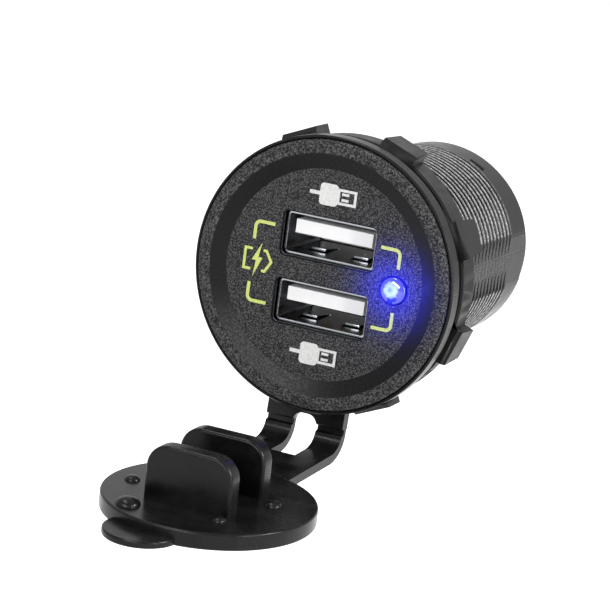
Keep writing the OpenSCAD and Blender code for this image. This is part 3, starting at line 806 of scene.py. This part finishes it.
def speckled(name, colour, roughness, size, **sockets):
    finish = Finish(name, colour, roughness, **sockets)
    spots = finish.noise(size, 3.0)
    finish.use("Base Color", finish.mix(finish.span(spots, 0.3, 0.7), colour,
                                        tuple(0.7 * c for c in colour)))
    finish.use("Roughness", finish.span(spots, 0.3, 0.7, roughness, roughness + 0.12))
    finish.bump(spots, 0.01 * MM, 0.3)
    return finish


ink("yellow_green_ink", (0.42, 0.47, 0.12)).on(node_of("bracket_marks"), node_of("charge_mark"))
ink("white_ink", (0.5, 0.5, 0.49)).on(node_of("plug_marks"))
speckled("green_board", (0.015, 0.12, 0.04), 0.35, 1 * MM).on(node_of("front_board"),
                                                              node_of("power_board"))
speckled("chip_body", (0.02, 0.02, 0.021), 0.5, 0.4 * MM).on(node_of("control_chip"))
speckled("ferrite", (0.07, 0.07, 0.075), 0.6, 0.3 * MM).on(node_of("inductor_core"))
speckled("enamelled_wire", (0.42, 0.15, 0.05), 0.25, 0.6 * MM, Metallic=1.0).on(
    node_of("inductor_winding"))
speckled("can_sleeve", (0.03, 0.035, 0.05), 0.3, 0.8 * MM).on(node_of("input_capacitor"),
                                                             node_of("output_capacitor"))
tin = speckled("tin_plate", (0.55, 0.53, 0.48), 0.28, 0.5 * MM, Metallic=1.0)
tin.on(node_of("led_leads"))
for pole_name in ("positive", "negative"):
    blade = eased_copy("terminal_" + pole_name, "blade_" + pole_name, 0.1 * MM)
    tin.on(blade)
    stands_for(blade, "socket", "blade_tin", "terminal_" + pole_name)

# %% [markdown]
# Floor and background
#
# The picture is a product shot on white. A pale floor lies under the socket and keeps its shadow.
# The camera, reflections and anything seen through glass find it white, while the light that falls
# on the socket stays at a plain level.

# %% Floor and world
FLOOR_DROP = 26 * MM
FLOOR_SIZE = 6
FLOOR_LIFT = 0.62
WORLD_LIGHT = 0.35


def sees_white(nodes, links):
    """Is 1 for the camera, for reflections and through glass, and 0 for light that falls on things."""
    path = nodes.new("ShaderNodeLightPath")
    total = path.outputs["Is Camera Ray"]
    for ray in ("Is Glossy Ray", "Is Transmission Ray"):
        either = nodes.new("ShaderNodeMath")
        either.operation = "MAXIMUM"
        links.new(total, either.inputs[0])
        links.new(path.outputs[ray], either.inputs[1])
        total = either.outputs[0]
    return total


bpy.ops.mesh.primitive_plane_add(size=FLOOR_SIZE, location=(0, 0, lid_low.z - FLOOR_DROP))
floor = bpy.context.active_object
floor.name = "floor"
pale = bpy.data.materials.new("pale_floor")
pale.use_nodes = True
nodes, links = pale.node_tree.nodes, pale.node_tree.links
nodes.remove(nodes["Principled BSDF"])
matt = nodes.new("ShaderNodeBsdfDiffuse")
matt.inputs["Color"].default_value = (0.8, 0.8, 0.8, 1)
lift = nodes.new("ShaderNodeEmission")
links.new(sees_white(nodes, links), lift.inputs["Strength"])
lift.inputs["Color"].default_value = (FLOOR_LIFT, FLOOR_LIFT, FLOOR_LIFT, 1)
both = nodes.new("ShaderNodeAddShader")
links.new(matt.outputs[0], both.inputs[0])
links.new(lift.outputs[0], both.inputs[1])
links.new(both.outputs[0], nodes["Material Output"].inputs["Surface"])
floor.data.materials.append(pale)

world = bpy.data.worlds.new("studio")
bpy.context.scene.world = world
world.use_nodes = True
nodes, links = world.node_tree.nodes, world.node_tree.links
backdrop = nodes["Background"]
level = nodes.new("ShaderNodeMapRange")
level.inputs["To Min"].default_value = WORLD_LIGHT
level.inputs["To Max"].default_value = 1.0
links.new(sees_white(nodes, links), level.inputs["Value"])
links.new(level.outputs[0], backdrop.inputs["Strength"])
backdrop.inputs["Color"].default_value = (1, 1, 1, 1)

# %% [markdown]
# Lights
#
# Four soft boxes: a long strip in front and above, which is turned along the face and draws the
# sheen on its slope, a square one at the right for the bright lines on the thread, a tall narrow one
# at the right for the edges of nut and cap, and a flat one above. Sizes and places are in metres and
# powers in watts. A tiny blue lamp in front of the dome lets the chrome and the rim pick up its light.

# %% Lights


def soft_box(name, place, target, size, power, roll=0.0):
    light = bpy.data.lights.new(name, "AREA")
    light.shape = "RECTANGLE"
    light.size, light.size_y = size
    light.energy = power
    lamp_object = bpy.data.objects.new(name, light)
    bpy.context.scene.collection.objects.link(lamp_object)
    aim = (Vector(target) - Vector(place)).to_track_quat("-Z", "Y").to_matrix().to_4x4()
    lamp_object.matrix_world = Matrix.Translation(place) @ aim @ Matrix.Rotation(math.radians(roll), 4, "Z")


soft_box("front_strip", (-0.04, -0.56, 0.2), (0, 0, 0), (0.45, 0.13), 2.6, roll=-26)
soft_box("thread_box", (0.52, 0.02, 0.27), (0, 0.02, 0.005), (0.14, 0.14), 4.0)
soft_box("edge_strip", (0.52, -0.24, 0.04), (0, 0, -0.01), (0.05, 0.5), 2.4)
soft_box("top_strip", (-0.16, -0.1, 0.55), (0, 0, 0), (0.4, 0.08), 1.4)
spot = bpy.data.lights.new("dome_light", "POINT")
spot.energy = 0.0004
spot.color = (0.05, 0.08, 1.0)
spot.shadow_soft_size = 0.001
spot_object = bpy.data.objects.new("dome_light", spot)
bpy.context.scene.collection.objects.link(spot_object)
spot_object.location = (lamp_x, recess_y - 2.5 * MM, 0)

# %% [markdown]
# Camera
#
# The camera was worked out from the picture: the ellipses of the rim and of the barrel's rear edge
# and the corners of the ports give its direction, its distance and a small roll of 7 degrees.

# %% Camera
AZIMUTH = math.radians(23.305)
ELEVATION = math.radians(12.482)
ROLL = math.radians(7.366)
CAMERA_PLACE = Vector((156.25, -369.13, 84.12)) * MM
LENS = 184.14
right = Vector((math.cos(AZIMUTH), math.sin(AZIMUTH), 0))
back = Vector((math.sin(AZIMUTH) * math.cos(ELEVATION), -math.cos(AZIMUTH) * math.cos(ELEVATION),
               math.sin(ELEVATION)))
up = back.cross(right)
rolled_right = right * math.cos(ROLL) + up * math.sin(ROLL)
rolled_up = -right * math.sin(ROLL) + up * math.cos(ROLL)
camera_data = bpy.data.cameras.new("camera")
camera_data.lens = LENS
camera_data.sensor_width = 36
camera_data.clip_start = 0.01
camera = bpy.data.objects.new("camera", camera_data)
bpy.context.scene.collection.objects.link(camera)
turn = Matrix((rolled_right, rolled_up, back)).transposed().to_4x4()
camera.matrix_world = Matrix.Translation(CAMERA_PLACE) @ turn
bpy.context.scene.camera = camera
bpy.context.scene.view_settings.view_transform = "Standard"
